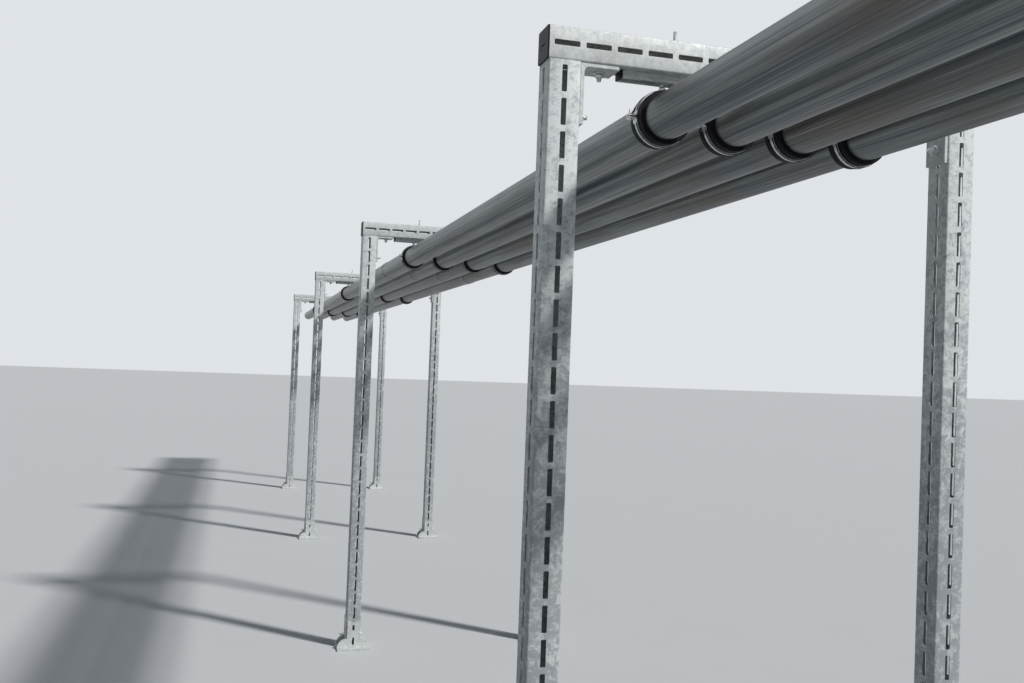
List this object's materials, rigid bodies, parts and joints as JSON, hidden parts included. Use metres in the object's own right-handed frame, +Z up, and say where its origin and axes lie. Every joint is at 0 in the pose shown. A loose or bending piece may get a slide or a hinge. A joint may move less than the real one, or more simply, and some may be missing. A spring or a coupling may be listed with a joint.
{
  "type": "pipe bridge",
  "caption": "Row of slotted box-section portal frames that carries four parallel pipes in rubber-lined clamps hung under its beams.",
  "frame": {"origin": "on the floor under the middle of the row, midway between the legs", "axes": "+X across the bridge from the left legs to the right legs, +Y along the pipes, +Z up"},
  "size_m": [1.329, 14.8, 2.574],
  "materials": {
    "galvanised": "hot-dip galvanised, mottled matt grey",
    "zinc_plated": "bright zinc plated",
    "pipe_steel": "bare drawn steel with lengthwise marks",
    "sleeve_steel": "bare pressed steel",
    "rubber": "matt black rubber",
    "black_plastic": "matt black plastic"
  },
  "bodies": {
    "root": {"beam_1": "galvanised", "beam_2": "galvanised", "beam_3": "galvanised", "beam_4": "galvanised", "clamp_bands_1": "zinc_plated", "clamp_bands_2": "zinc_plated", "clamp_bands_3": "zinc_plated", "clamp_bands_4": "zinc_plated", "clamp_linings_1": "rubber", "clamp_linings_2": "rubber", "clamp_linings_3": "rubber", "clamp_linings_4": "rubber", "clamp_rail_1": "galvanised", "clamp_rail_2": "galvanised", "clamp_rail_3": "galvanised", "clamp_rail_4": "galvanised", "corner_brackets_1": "galvanised", "corner_brackets_2": "galvanised", "corner_brackets_3": "galvanised", "corner_brackets_4": "galvanised", "end_caps": "black_plastic", "feet_1": "galvanised", "feet_2": "galvanised", "feet_3": "galvanised", "feet_4": "galvanised", "hangers_1": "zinc_plated", "hangers_2": "zinc_plated", "hangers_3": "zinc_plated", "hangers_4": "zinc_plated", "leg_left_1": "galvanised", "leg_left_2": "galvanised", "leg_left_3": "galvanised", "leg_left_4": "galvanised", "leg_right_1": "galvanised", "leg_right_2": "galvanised", "leg_right_3": "galvanised", "leg_right_4": "galvanised", "pipe_1": "pipe_steel", "pipe_2": "pipe_steel", "pipe_3": "pipe_steel", "pipe_4": "pipe_steel", "pipe_sleeves": "sleeve_steel", "rail_rods": "zinc_plated"}
  },
  "joints": []
}
